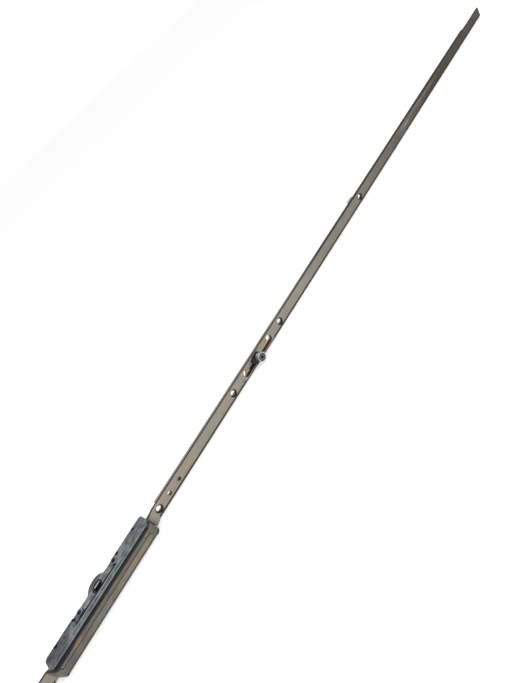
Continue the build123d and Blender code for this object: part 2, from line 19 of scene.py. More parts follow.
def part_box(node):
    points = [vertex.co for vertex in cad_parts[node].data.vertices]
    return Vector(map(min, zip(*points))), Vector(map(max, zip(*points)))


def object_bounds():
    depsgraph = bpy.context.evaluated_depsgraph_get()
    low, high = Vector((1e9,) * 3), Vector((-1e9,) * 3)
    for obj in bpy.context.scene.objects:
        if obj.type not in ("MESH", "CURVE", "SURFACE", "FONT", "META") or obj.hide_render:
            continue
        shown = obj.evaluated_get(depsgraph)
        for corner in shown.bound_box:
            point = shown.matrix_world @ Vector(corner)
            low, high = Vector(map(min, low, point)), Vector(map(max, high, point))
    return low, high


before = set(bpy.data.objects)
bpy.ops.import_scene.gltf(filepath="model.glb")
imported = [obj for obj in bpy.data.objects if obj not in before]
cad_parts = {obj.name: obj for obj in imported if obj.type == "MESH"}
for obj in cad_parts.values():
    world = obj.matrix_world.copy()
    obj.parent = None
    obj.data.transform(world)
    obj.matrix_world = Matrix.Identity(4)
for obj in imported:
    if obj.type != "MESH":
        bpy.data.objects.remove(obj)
CAD_LOW, CAD_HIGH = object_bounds()

LOG = logging.getLogger("espagnolette")
MM = 0.001
# Past every end of the gearbox, in millimetres
FAR = 2000.0
# Turn of the rounded normal from the true one where an edge of strength 1 is bare
BARE_TURN = 0.3
# Makes a Map Range node ease into both of its ends
SMOOTH = {"interpolation_type": "SMOOTHSTEP"}

Socket = bpy.types.NodeSocket
Tree = bpy.types.NodeTree
Links = dict[str | int, object]
Channels = tuple[float, float, float, float]
Tone = Socket | Channels
Span = tuple[float, float]


class Along(Enum):
    """Axes of the frame, by what they mean on the gearbox."""

    LENGTH = 0
    DEPTH = 1
    WIDTH = 2


class End(Enum):
    """Ends of the gearbox, as its nodes name them."""

    UPPER = "upper"
    LOWER = "lower"


def hex_to_linear(code: str) -> Channels:
    """Turn an sRGB hex colour into linear red, green, blue and alpha.

    Args:
        code: Six hex digits after a hash sign.

    Returns:
        Linear channels from 0 to 1, with an alpha of 1.
    """
    channels = [int(code[i : i + 2], 16) / 255 for i in (1, 3, 5)]
    linear = [c / 12.92 if c <= 0.04045 else ((c + 0.055) / 1.055) ** 2.4 for c in channels]
    return (linear[0], linear[1], linear[2], 1.0)


def middle_mm(node: str) -> float:
    """Give the middle of a node along the strip, in millimetres."""
    low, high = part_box(node)
    return (low.x + high.x) / 2 / MM


def add_node(
    tree: Tree, kind: str, settings: Links | None = None, links: Links | None = None
) -> bpy.types.Node:
    """Add one node with its settings, and link or set its inputs.

    Args:
        tree: Node tree that gets the node.
        kind: Blender's name for the type of node.
        settings: Properties of the node, by name.
        links: Inputs by name or number; a socket is linked and any other value is set.

    Returns:
        The new node.
    """
    node = tree.nodes.new(kind)
    for name, value in (settings or {}).items():
        setattr(node, name, value)
    for key, value in (links or {}).items():
        if isinstance(value, Socket):
            tree.links.new(value, node.inputs[key])
        else:
            node.inputs[key].default_value = value
    return node


def rise_along(tree: Tree, place: Socket, axis: Along, start_mm: float, stop_mm: float) -> Socket:
    """Make a mask that rises smoothly between two places on one axis.

    Args:
        tree: Node tree to add to.
        place: Place on the object, in metres.
        axis: Axis that the mask follows.
        start_mm: Where the mask is 0.
        stop_mm: Where the mask is 1; it may be lower than the start.

    Returns:
        A value from 0 to 1.
    """
    split = add_node(tree, "ShaderNodeSeparateXYZ", {}, {0: place})
    value = split.outputs[axis.value]
    low, high, bottom, top = start_mm, stop_mm, 0.0, 1.0
    if stop_mm < start_mm:
        low, high, bottom, top = stop_mm, start_mm, 1.0, 0.0
    level = add_node(
        tree,
        "ShaderNodeMapRange",
        SMOOTH,
        {"Value": value, "From Min": low * MM, "From Max": high * MM, "To Min": bottom, "To Max": top},
    )
    return level.outputs["Result"]


def facing(tree: Tree, axis: Along, start: float, stop: float) -> Socket:
    """Make a mask of the faces that point along an axis, either way.

    Args:
        tree: Node tree to add to.
        axis: Axis that the faces point along.
        start: Share of the normal on that axis where the mask is 0.
        stop: Share where it is 1.

    Returns:
        A value from 0 to 1.
    """
    normal = add_node(tree, "ShaderNodeNewGeometry").outputs["Normal"]
    split = add_node(tree, "ShaderNodeSeparateXYZ", {}, {0: normal})
    share = add_node(tree, "ShaderNodeMath", {"operation": "ABSOLUTE"}, {0: split.outputs[axis.value]})
    reach = {"Value": share.outputs[0], "From Min": start, "From Max": stop}
    level = add_node(tree, "ShaderNodeMapRange", SMOOTH, reach)
    return level.outputs["Result"]


def worn_and_lit_edges(tree: Tree, radius_mm: float, strength: float) -> Socket:
    """Make a mask of the sharp edges, where handling rubs the surface and where the zinc takes a painted
    highlight.

    Args:
        tree: Node tree to add to.
        radius_mm: Width of the rubbed edge.
        strength: How fast the mask rises towards the edge.

    Returns:
        A value from 0 on flat faces to 1 on the edges.
    """
    rounded = add_node(tree, "ShaderNodeBevel", {"samples": 6}, {"Radius": radius_mm * MM})
    true_normal = add_node(tree, "ShaderNodeNewGeometry")
    agree = add_node(
        tree,
        "ShaderNodeVectorMath",
        {"operation": "DOT_PRODUCT"},
        {0: rounded.outputs[0], 1: true_normal.outputs["True Normal"]},
    )
    bare_at = 1.0 - BARE_TURN / strength
    level = add_node(
        tree,
        "ShaderNodeMapRange",
        {},
        {"Value": agree.outputs["Value"], "From Min": 1.0, "From Max": bare_at, "To Max": 1.0},
    )
    return level.outputs["Result"]


def lay_over(tree: Tree, under: Tone, over: Tone, mask: Socket, share: float = 1.0) -> Socket:
    """Lay one coat of colour over another where a mask says so.

    Args:
        tree: Node tree to add to.
        under: Colour below.
        over: Colour on top.
        mask: Value from 0 to 1 that lets the top colour through.
        share: Most of the top colour that shows.

    Returns:
        The colour of the two coats together.
    """
    level = add_node(tree, "ShaderNodeMath", {"operation": "MULTIPLY"}, {0: mask, 1: share})
    # Colours go into sockets 6 and 7 of a Mix node, and their mix comes out at 2
    both = add_node(tree, "ShaderNodeMix", {"data_type": "RGBA"}, {0: level.outputs[0], 6: under, 7: over})
    return both.outputs[2]


def both_masks(tree: Tree, first: Socket, second: Socket) -> Socket:
    """Keep only what lies in two masks at once."""
    product = add_node(tree, "ShaderNodeMath", {"operation": "MULTIPLY"}, {0: first, 1: second})
    return product.outputs[0]


def either_mask(tree: Tree, first: Socket, second: Socket) -> Socket:
    """Keep what lies in either of two masks."""
    most = add_node(tree, "ShaderNodeMath", {"operation": "MAXIMUM"}, {0: first, 1: second})
    return most.outputs[0]


@dataclass(frozen=True)
class Patches:
    """Cloudy patches of a real size.

    Attributes:
        size_mm: Size of a patch across the strip.
        cut: Noise level at the middle of a patch's edge, from 0 to 1.
        soft: Width of that edge in noise levels.
        stretch: How many times longer a patch is along the strip.
        detail: Levels of finer noise inside the patches.
    """

    size_mm: float
    cut: float
    soft: float
    stretch: float = 1.0
    detail: float = 3.0

    def reach(self, tree: Tree, place: Socket) -> Socket:
        """Give the mask of the patches.

        Args:
            tree: Node tree to add to.
            place: Place on the object, in metres.

        Returns:
            A value from 0 outside the patches to 1 inside.
        """
        step = 1.0 / (self.size_mm * MM)
        scale = (step / self.stretch, step, step)
        scaled = add_node(tree, "ShaderNodeMapping", {}, {"Vector": place, "Scale": scale})
        grain = {"Vector": scaled.outputs[0], "Scale": 1.0, "Detail": self.detail}
        noise = add_node(tree, "ShaderNodeTexNoise", {}, grain)
        edge = {"From Min": self.cut - self.soft, "From Max": self.cut + self.soft}
        level = add_node(tree, "ShaderNodeMapRange", SMOOTH, {"Value": noise.outputs["Fac"], **edge})
        return level.outputs["Result"]


@dataclass(frozen=True, kw_only=True)
class Clouds(Patches):
    """Cloudy patches of one colour, all over a surface.

    Attributes:
        colour: Their colour, as sRGB hex.
        share: Most of their colour that shows.
    """

    colour: str
    share: float

    def lay(self, tree: Tree, place: Socket, tone: Tone) -> Socket:
        """Lay the clouds over a colour.

        Args:
            tree: Node tree to add to.
            place: Place on the object, in metres.
            tone: Colour below.

        Returns:
            The colour with the clouds on it.
        """
        return lay_over(tree, tone, hex_to_linear(self.colour), self.reach(tree, place), self.share)


@dataclass(frozen=True)
class PaintedMark:
    """One mark that lies in one place on the gearbox: rust, grime, a tint, a worn line, painted shade or a
    painted highlight.

    Attributes:
        colour: Its colour, as sRGB hex.
        length: Its reach along the strip, or None for all of it.
        depth: Its reach from front to back.
        width: Its reach across the strip.
        share: Most of its colour that shows.
        soft: Width of its blurred border along the length, the depth and the width.
        patch_mm: Size of the patches that it breaks up into, or 0 for an even stain.
        hides_shine: Whether it hides the shine of the metal, as grime and painted shade do.
    """

    colour: str
    length: Span | None = None
    depth: Span | None = None
    width: Span | None = None
    share: float = 0.9
    soft: tuple[float, float, float] = (2.0, 0.12, 0.5)
    patch_mm: float = 0.0
    hides_shine: bool = False

    def lay(self, tree: Tree, place: Socket, tone: Tone) -> Socket:
        """Lay the mark over a colour.

        Args:
            tree: Node tree to add to.
            place: Place on the object, in metres.
            tone: Colour below.

        Returns:
            The colour with the mark on it.
        """
        return lay_over(tree, tone, hex_to_linear(self.colour), self.reach(tree, place), self.share)

    def reach(self, tree: Tree, place: Socket) -> Socket:
        """Give the mask of the place that the mark covers.

        Args:
            tree: Node tree to add to.
            place: Place on the object, in metres.

        Returns:
            A value from 0 to 1.
        """
        masks = []
        for axis, reach, soft in zip(Along, (self.length, self.depth, self.width), self.soft):
            if reach:
                masks.append(rise_along(tree, place, axis, reach[0] - soft / 2, reach[0] + soft / 2))
                masks.append(rise_along(tree, place, axis, reach[1] + soft / 2, reach[1] - soft / 2))
        if self.patch_mm:
            masks.append(Patches(self.patch_mm, cut=0.47, soft=0.12, stretch=1.3).reach(tree, place))
        mask = masks[0]
        for other in masks[1:]:
            mask = both_masks(tree, mask, other)
        return mask


@dataclass(frozen=True)
class Ring:
    """A ring of one colour on the end faces of a turned piece.

    Attributes:
        colour: Its colour, as sRGB hex.
        inner_mm: Its inner radius.
        outer_mm: Its outer radius.
        share: Most of its colour that shows.
        soft_mm: Half the width of its blurred border.
    """

    colour: str
    inner_mm: float
    outer_mm: float
    share: float
    soft_mm: float = 0.12

    def reach(self, tree: Tree, radius: Socket) -> Socket:
        """Give the mask of the ring.

        Args:
            tree: Node tree to add to.
            radius: Distance from the turning axis, in metres.

        Returns:
            A value from 0 to 1.
        """
        start = self.past(tree, radius, self.inner_mm)
        stop = self.past(tree, radius, self.outer_mm)
        ring = add_node(
            tree, "ShaderNodeMath", {"operation": "SUBTRACT", "use_clamp": True}, {0: start, 1: stop}
        )
        return ring.outputs[0]

    def past(self, tree: Tree, radius: Socket, edge_mm: float) -> Socket:
        """Make a mask that turns from 0 to 1 at a radius.

        Args:
            tree: Node tree to add to.
            radius: Distance from the turning axis, in metres.
            edge_mm: Radius of the step.

        Returns:
            A value from 0 inside to 1 outside.
        """
        low, high = (edge_mm - self.soft_mm) * MM, (edge_mm + self.soft_mm) * MM
        reach = {"Value": radius, "From Min": low, "From Max": high}
        step = add_node(tree, "ShaderNodeMapRange", {}, reach)
        return step.outputs["Result"]


def lay_all(tree: Tree, place: Socket, tone: Tone, layers: tuple[Clouds | PaintedMark, ...]) -> Tone:
    """Lay clouds and marks over a colour, one after the other.

    Args:
        tree: Node tree to add to.
        place: Place on the object, in metres.
        tone: Colour below.
        layers: What to lay, lowest first.

    Returns:
        The colour with all of them on it.
    """
    for layer in layers:
        tone = layer.lay(tree, place, tone)
    return tone


@dataclass(frozen=True)
class Finish:
    """A real material with a made surface.

    Attributes:
        name: Name of the Blender material.
        base: Main colour, as sRGB hex.
        roughness: Middle roughness of the surface.
        metallic: Share of metal in the shader.
        grain_mm: Size of the finest surface grain that shows.
        relief_mm: Height of that grain.
        painted_marks: Rust, grime, tints, wear, painted shade and painted highlights in set places.
        smoother: How far the smoothest spots lie below the middle roughness.
        rougher: How far the roughest spots lie above it.
        hidden_shine_roughness: Roughness under grime and painted shade, which hide the shine.
        rough_grains: Size of the clouds of roughness, in grains.
        tone_grains: Size of the darker clouds, in grains.
        deep: Brightness of the darker clouds, as a share of the main colour's.
    """

    name: str
    base: str
    roughness: float
    metallic: float
    grain_mm: float
    relief_mm: float
    painted_marks: tuple[PaintedMark, ...] = ()
    smoother: float = 0.07
    rougher: float = 0.09
    hidden_shine_roughness: float = 0.95
    rough_grains: float = 6.0
    tone_grains: float = 9.0
    deep: float = 0.72

    def build(self) -> bpy.types.Material:
        """Make the Blender material of this finish.

        Returns:
            The new material.
        """
        material = bpy.data.materials.new(self.name)
        material.use_nodes = True
        tree = material.node_tree
        tree.nodes.clear()
        place = add_node(tree, "ShaderNodeTexCoord").outputs["Object"]
        colour = self.colour(tree, place)
        low, high = self.roughness - self.smoother, self.roughness + self.rougher
        clouds = Patches(self.grain_mm * self.rough_grains, cut=0.5, soft=0.25).reach(tree, place)
        rough = add_node(tree, "ShaderNodeMapRange", {}, {"Value": clouds, "To Min": low, "To Max": high})
        roughness, metallic = rough.outputs["Result"], self.metallic
        hidden_shine = self.hidden_shine(tree, place)
        if hidden_shine:
            # Plain numbers go into sockets 2 and 3 of a Mix node
            levels = {0: hidden_shine, 2: roughness, 3: self.hidden_shine_roughness}
            dull = add_node(tree, "ShaderNodeMix", {"data_type": "FLOAT"}, levels)
            bare = add_node(
                tree, "ShaderNodeMapRange", {}, {"Value": hidden_shine, "To Min": self.metallic, "To Max": 0.0}
            )
            roughness, metallic = dull.outputs[0], bare.outputs["Result"]
        shader = add_node(
            tree,
            "ShaderNodeBsdfPrincipled",
            {},
            {
                "Base Color": colour,
                "Metallic": metallic,
                "Roughness": roughness,
                "Normal": self.relief(tree, place),
            },
        )
        add_node(tree, "ShaderNodeOutputMaterial", {}, {"Surface": shader.outputs[0]})
        return material

    def colour(self, tree: Tree, place: Socket) -> Socket:
        """Give the colour over the surface.

        Args:
            tree: Node tree to add to.
            place: Place on the object, in metres.

        Returns:
            The colour socket.
        """
        base = hex_to_linear(self.base)
        deep = tuple(self.deep * c for c in base[:3]) + (1.0,)
        clouds = Patches(self.grain_mm * self.tone_grains, cut=0.5, soft=0.22).reach(tree, place)
        return lay_all(tree, place, lay_over(tree, base, deep, clouds, share=0.5), self.painted_marks)

    def hidden_shine(self, tree: Tree, place: Socket) -> Socket | None:
        """Give the share of the surface whose shine is hidden, under grime and painted shade.

        Args:
            tree: Node tree to add to.
            place: Place on the object, in metres.

        Returns:
            A value from 0 to 1, or None where no mark hides the shine.
        """
        total = None
        for stain in self.painted_marks:
            if stain.hides_shine:
                reach = stain.reach(tree, place)
                total = either_mask(tree, total, reach) if total else reach
        return total

    def relief(self, tree: Tree, place: Socket) -> Socket:
        """Give the fine relief of the surface.

        Args:
            tree: Node tree to add to.
            place: Place on the object, in metres.

        Returns:
            The normal socket.
        """
        grain = add_node(
            tree,
            "ShaderNodeTexNoise",
            {},
            {"Vector": place, "Scale": 1.0 / (self.grain_mm * MM), "Detail": 4.0},
        )
        relief = {"Strength": 0.6, "Distance": self.relief_mm * MM}
        bump = add_node(tree, "ShaderNodeBump", {}, {**relief, "Height": grain.outputs["Fac"]})
        return bump.outputs["Normal"]


@dataclass(frozen=True)
class CastZinc(Finish):
    """Pressure die-cast zinc, left raw: blue-grey, tarnished in clouds; worn rims with a painted
    highlight, painted shade in corners.

    Attributes:
        clouds: Tarnish in wide and in small clouds, and the pale bloom of zinc oxide.
        rim: Bare metal on worn rims, lightened further as a painted highlight.
        corner_shade: Painted shade in the corners.
        corner_mm: How far from a corner the painted shade reaches.
        corner_open: Open share of the view where that painted shade starts, and where it is full.
    """

    clouds: tuple[Clouds, ...] = (
        Clouds(6.5, cut=0.5, soft=0.14, stretch=1.7, detail=4.0, colour="#3d434a", share=0.65),
        Clouds(2.21, cut=0.53, soft=0.07, stretch=1.8, colour="#3d434a", share=0.62),
        Clouds(2.925, cut=0.58, soft=0.08, stretch=2.6, detail=5.0, colour="#969d9e", share=0.75),
    )
    rim: str = "#a9b3b5"
    corner_shade: str = "#17191c"
    corner_mm: float = 2.6
    corner_open: Span = (0.85, 0.25)

    def colour(self, tree: Tree, place: Socket) -> Socket:
        """Lay tarnish, bloom, worn rims with their painted highlight, the marks and painted shade in the
        corners over the cast skin.

        Args:
            tree: Node tree to add to.
            place: Place on the object, in metres.

        Returns:
            The colour socket.
        """
        tone = lay_all(tree, place, hex_to_linear(self.base), self.clouds)
        # Worn rims, lightened further as a painted highlight
        rubbed_and_lit = worn_and_lit_edges(tree, radius_mm=0.5, strength=1.6)
        tone = lay_over(tree, tone, hex_to_linear(self.rim), rubbed_and_lit, share=0.65)
        tone = lay_all(tree, place, tone, self.painted_marks)
        # Painted shade in the corners, full where the open view is narrowest
        corner = add_node(
            tree, "ShaderNodeAmbientOcclusion", {"samples": 8}, {"Distance": self.corner_mm * MM}
        )
        reach = {"From Min": self.corner_open[0], "From Max": self.corner_open[1]}
        dark = add_node(tree, "ShaderNodeMapRange", {}, {"Value": corner.outputs["AO"], **reach})
        return lay_over(tree, tone, hex_to_linear(self.corner_shade), dark.outputs["Result"], share=0.9)


def sheen(colour: str, size_mm: float, cut: float, share: float, stretch: float) -> Clouds:
    """Give one layer of the oily sheen of passivation, in plain clouds with soft borders."""
    return Clouds(size_mm, cut, soft=0.1, stretch=stretch, detail=1.5, colour=colour, share=share)


def far_tone(colour: str, start_mm: float, stop_mm: float) -> PaintedMark:
    """Give a tone that grows between two places along the strip and stays beyond."""
    middle, width = (start_mm + stop_mm) / 2, stop_mm - start_mm
    return PaintedMark(colour, (middle, FAR), share=0.93, soft=(width, 0.0, 0.0))


@dataclass(frozen=True)
class PassivatedStrip(Finish):
    """Rolled steel strip, zinc plated and yellow passivated: beige with a faint pink and green sheen.

    Attributes:
        hues: Sheen of the plates, drawn out along the rolling direction.
        raised: Browner tone of the plates over the gear case.
        raised_hues: Stronger sheen of those plates.
        rise: Depths between which the plain tone turns into the browner one.
        specks: Fine dark specks.
        far_tones: Tones that grow darker towards the far end.
        side_tone: Tone of the long cut edges; on the faceplates it is painted shade.
        edge: Shares of the normal across the strip between which a face counts as such an edge.
    """

    hues: tuple[Clouds, ...] = (
        sheen("#a3908d", 19.0, 0.56, 0.34, 3.2),
        sheen("#8d9587", 15.0, 0.57, 0.3, 3.2),
        sheen("#a49a72", 6.0, 0.64, 0.45, 3.2),
    )
    raised: str = "#6c655a"
    raised_hues: tuple[Clouds, ...] = (
        sheen("#7d6d64", 7.0, 0.52, 0.7, 1.3),
        sheen("#64705f", 6.0, 0.56, 0.7, 1.3),
        sheen("#625968", 5.0, 0.6, 0.75, 1.3),
    )
    rise: Span = (-8.6, -11.0)
    specks: Clouds = Clouds(
        1.6, cut=0.68, soft=0.05, stretch=1.4, detail=4.0, colour="#5b544c", share=0.35
    )
    # Darker towards the far end
    far_tones: tuple[PaintedMark, ...] = (
        far_tone("#7f7b72", 300.0, 410.0),
        far_tone("#6a645a", 430.0, 545.0),
        far_tone("#3a3427", 545.0, 700.0),
    )
    side_tone: str = "#2f2b27"
    edge: Span = (0.45, 0.85)

    def colour(self, tree: Tree, place: Socket) -> Socket:
        """Lay sheen, the cover's brown, the darker far end, the side tone and the marks over the plating.

        Args:
            tree: Node tree to add to.
            place: Place on the object, in metres.

        Returns:
            The colour socket.
        """
        plate = lay_all(tree, place, hex_to_linear(self.base), self.hues)
        cover = lay_all(tree, place, hex_to_linear(self.raised), self.raised_hues)
        tone = lay_over(tree, plate, cover, rise_along(tree, place, Along.DEPTH, *self.rise))
        tone = lay_all(tree, place, tone, (self.specks, *self.far_tones))
        # Long cut edges take the side tone, painted shade on the faceplates
        edges = facing(tree, Along.WIDTH, *self.edge)
        tone = lay_over(tree, tone, hex_to_linear(self.side_tone), edges, share=0.95)
        return lay_all(tree, place, tone, self.painted_marks)

    def hidden_shine(self, tree: Tree, place: Socket) -> Socket:
        """Give the share of the strip whose shine is hidden: its long cut edges, painted shade on the
        faceplates, and the marks that hide the shine.

        Args:
            tree: Node tree to add to.
            place: Place on the object, in metres.

        Returns:
            A value from 0 to 1.
        """
        edges = facing(tree, Along.WIDTH, *self.edge)
        painted_marks = Finish.hidden_shine(self, tree, place)
        return either_mask(tree, edges, painted_marks) if painted_marks else edges


@dataclass(frozen=True)
class TurnedSteel(Finish):
    """Steel turned on a lathe and zinc plated blue: fine rings about its own axis, worn at the rim.

    Attributes:
        centre_mm: Place of the turning axis along the strip.
        rim: Bare metal on worn rims.
        dull: Colour of the dull clouds.
        rings: Rings on the end faces.
    """

    centre_mm: float = 0.0
    rim: str = "#b9c0c8"
    dull: str = "#4a515b"
    rings: tuple[Ring, ...] = ()

    def colour(self, tree: Tree, place: Socket) -> Socket:
        """Lay dull clouds, bright rims and the rings over the plating.

        Args:
            tree: Node tree to add to.
            place: Place on the object, in metres.

        Returns:
            The colour socket.
        """
        clouds = Clouds(2.4, cut=0.5, soft=0.2, colour=self.dull, share=0.45)
        tone = clouds.lay(tree, place, hex_to_linear(self.base))
        rubbed_and_lit = worn_and_lit_edges(tree, radius_mm=0.4, strength=1.6)
        tone = lay_over(tree, tone, hex_to_linear(self.rim), rubbed_and_lit, share=0.6)
        end_face = facing(tree, Along.DEPTH, start=0.5, stop=0.85)
        radius = self.radius(tree, place)
        for ring in self.rings:
            mask = both_masks(tree, ring.reach(tree, radius), end_face)
            tone = lay_over(tree, tone, hex_to_linear(ring.colour), mask, ring.share)
        return tone

    def radius(self, tree: Tree, place: Socket) -> Socket:
        """Give the distance from the turning axis.

        Args:
            tree: Node tree to add to.
            place: Place on the object, in metres.

        Returns:
            The distance in metres.
        """
        local = add_node(
            tree,
            "ShaderNodeMapping",
            {},
            {"Vector": place, "Location": (-self.centre_mm * MM, 0.0, 0.0), "Scale": (1.0, 0.0, 1.0)},
        )
        length = add_node(tree, "ShaderNodeVectorMath", {"operation": "LENGTH"}, {0: local.outputs[0]})
        return length.outputs["Value"]

    def relief(self, tree: Tree, place: Socket) -> Socket:
        """Cut fine rings about the turning axis, coarser than the real ones so that they show.

        Args:
            tree: Node tree to add to.
            place: Place on the object, in metres.

        Returns:
            The normal socket.
        """
        radius = self.radius(tree, place)
        waves = 2 * math.pi / (self.grain_mm * MM)
        turns = add_node(tree, "ShaderNodeMath", {"operation": "MULTIPLY"}, {0: radius, 1: waves})
        wave = add_node(tree, "ShaderNodeMath", {"operation": "SINE"}, {0: turns.outputs[0]})
        relief = {"Strength": 0.5, "Distance": self.relief_mm * MM}
        bump = add_node(tree, "ShaderNodeBump", {}, {**relief, "Height": wave.outputs[0]})
        return bump.outputs["Normal"]


@dataclass(frozen=True)
class MouldedPlastic(Finish):
    """Injection-moulded plastic with a dull skin, dusty and scuffed along its edges.

    Attributes:
        scuff: Colour of the dust and of the scuffed edges.
    """

    scuff: str = "#3a3b3e"

    def colour(self, tree: Tree, place: Socket) -> Socket:
        """Lay dust, the marks and scuffs over the moulded skin.

        Args:
            tree: Node tree to add to.
            place: Place on the object, in metres.

        Returns:
            The colour socket.
        """
        dust = Clouds(2.5, cut=0.56, soft=0.14, colour=self.scuff, share=0.25)
        tone = lay_all(tree, place, hex_to_linear(self.base), (dust, *self.painted_marks))
        rubbed_and_lit = worn_and_lit_edges(tree, radius_mm=0.3, strength=1.4)
        return lay_over(tree, tone, hex_to_linear(self.scuff), rubbed_and_lit, share=0.5)


# Steel pins, headed over cold: brown, with a little rust
RIVET = Finish(
    "peened steel, brown", "#4d3a28", roughness=0.5, metallic=0.5, grain_mm=0.8, relief_mm=0.02
)
# Pressed steel blocks under the cover: brown with dried grease
SPACER = Finish(
    "pressed steel, greasy", "#57514a", roughness=0.5, metallic=0.5, grain_mm=1.5, relief_mm=0.02
)
# Black acetal shoes, washers and bearing plates: matt, dusty
BLACK = MouldedPlastic(
    "moulded acetal, black", "#151618", roughness=0.55, metallic=0.0, grain_mm=0.9, relief_mm=0.02
)
# Dirt in seams, also used as painted shade where the faceplate leaves the nose of the cover
DIRT_AND_SHADE = "#2a2523"


@dataclass
class SubAssembly:
    """A group of pieces that share a place on the gearbox.

    Attributes:
        title: What a fitter calls the group.
        finishes: Finish of each node in the group.
    """

    title: str
    finishes: dict[str, Finish] = field(default_factory=dict)

    def dress(self) -> None:
        """Give every node of the group its finish."""
        for node, finish in self.finishes.items():
            material = bpy.data.materials.get(finish.name) or finish.build()
            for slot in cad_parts[node].material_slots:
                slot.material = material
            LOG.info("%s: %s in %s", self.title, node, finish.name)


@dataclass
class GearCase(SubAssembly):
    """Zinc case with its follower and rivets.

    Attributes:
        recess: Length of the cast recess beside the follower.
        skin: Width from the floor of the recess to the outer face.
        face: Width about the outer face alone.
        rim: Width about the outer face and its rounded rim.
    """

    title: str = "gear case"
    recess: Span = (-28.5, 21.5)
    skin: Span = (4.8, 6.2)
    face: Span = (5.5, 6.2)
    rim: Span = (5.2, 6.2)

    def __post_init__(self) -> None:
        """Give the nodes of the case their finishes."""
        # Raw zinc die casting: cool grey, cloudy with tarnish, with bright worn rims under a painted
        # highlight, and painted shade in its corners
        zinc = CastZinc(
            "die-cast zinc, tarnished",
            "#83898d",
            roughness=0.5,
            metallic=0.6,
            grain_mm=0.7,
            relief_mm=0.05,
            painted_marks=self.zinc_painted_marks(),
        )
        # Sintered steel: black, with painted shade deep in its square and a painted highlight on one wall
        # of the square
        sintered = Finish(
            "sintered steel, greased",
            "#1b1d20",
            roughness=0.45,
            metallic=0.5,
            grain_mm=0.5,
            relief_mm=0.015,
            painted_marks=self.follower_shade_and_highlight(),
        )
        self.finishes = {
            "gear_case": zinc,
            "gear_case_cover": zinc,
            "case_rivets": RIVET,
            "spindle_follower": sintered,
        }

    def zinc_painted_marks(self) -> tuple[PaintedMark, ...]:
        """Give the marks on the casting, painted shade and painted highlights among them.

        Returns:
            The marks, lowest first.
        """
        recess, skin, face, rim = self.recess, self.skin, self.face, self.rim
        return (
            # Painted shade along the foot of the raised front wall, matt
            PaintedMark("#0b0c0e", recess, (-6.3, -3.2), (4.5, 5.5), 0.97, (1.0, 0.4, 0.2), hides_shine=True),
            PaintedMark("#101214", recess, (-6.8, -5.4), skin, 0.95, (1.0, 0.3, 0.2), hides_shine=True),
            # Painted highlight along the top of the wall of the recess
            PaintedMark("#a9b1b3", (-29.0, 22.0), (-7.9, -7.0), face, 0.75, (8.0, 0.6, 0.2)),
            # Line of a tool mark in front of the recess
            PaintedMark("#42474d", (-30.0, 52.0), (-9.9, -9.1), face, 0.5, (8.0, 0.6, 0.2)),
            # Painted highlight along the front rim
            PaintedMark("#9aa5a6", None, (-12.4, -11.6), rim, 0.6, (1.0, 0.4, 0.2)),
            # Painted shade on the front wall, in the gap under the cover, matt
            PaintedMark("#1a1617", (-61.0, 61.0), (-12.8, -11.5), (-6.2, 5.25), 0.9, (1.0, 0.3, 0.5), hides_shine=True),
            # Pale flecks below the follower
            PaintedMark("#b4b8b8", (-19.5, -11.0), (-2.9, 0.5), skin, 0.6, (1.0, 0.5, 0.2), 1.2),
            # Darker lower end, tarnished most along the back
            PaintedMark("#3f464f", (-60.0, -40.0), None, None, 0.4, (14.0, 1.0, 1.0)),
            PaintedMark("#32373e", (-62.0, -33.0), (-5.5, 5.0), None, 0.5, (14.0, 4.0, 1.0)),
            PaintedMark("#454b52", (41.0, 62.0), (-7.5, 5.0), None, 0.45, (8.0, 3.0, 1.0)),
            # Dark back edge
            PaintedMark("#24282c", (-62.0, -14.5), (3.1, 5.0), skin, 0.8, (2.0, 0.5, 0.4)),
            PaintedMark("#24282c", (14.5, 62.0), (3.1, 5.0), skin, 0.8, (2.0, 0.5, 0.4)),
            # Duller crown of the bulge
            PaintedMark("#3a3d42", (-14.0, 14.0), (6.0, 13.0), skin, 0.72, (3.0, 1.6, 0.4)),
            # Rust that bled from the two rivets
            PaintedMark("#7a5c3c", (36.0, 40.0), (-3.4, -0.6), rim, 0.35, (2.0, 1.2, 0.2)),
            PaintedMark("#7a5c3c", (-42.0, -38.0), (-3.4, -0.6), rim, 0.35, (2.0, 1.2, 0.2)),
        )

    def follower_shade_and_highlight(self) -> tuple[PaintedMark, ...]:
        """Give the painted shade deep in the square of the follower, and the painted highlight on its back
        wall.

        Returns:
            The marks, lowest first.
        """
        return (
            # Painted shade deep in the square hole
            PaintedMark("#060708", None, (-3.7, 3.7), (-7.0, 4.6), 0.97, (1.0, 0.1, 0.2), hides_shine=True),
            # Painted highlight on the back wall of the square, which faces the front
            PaintedMark("#ffffff", (-3.0, 3.6), (3.2, 3.8), (3.5, 4.5), 1.0, (1.2, 0.2, 0.3)),
        )


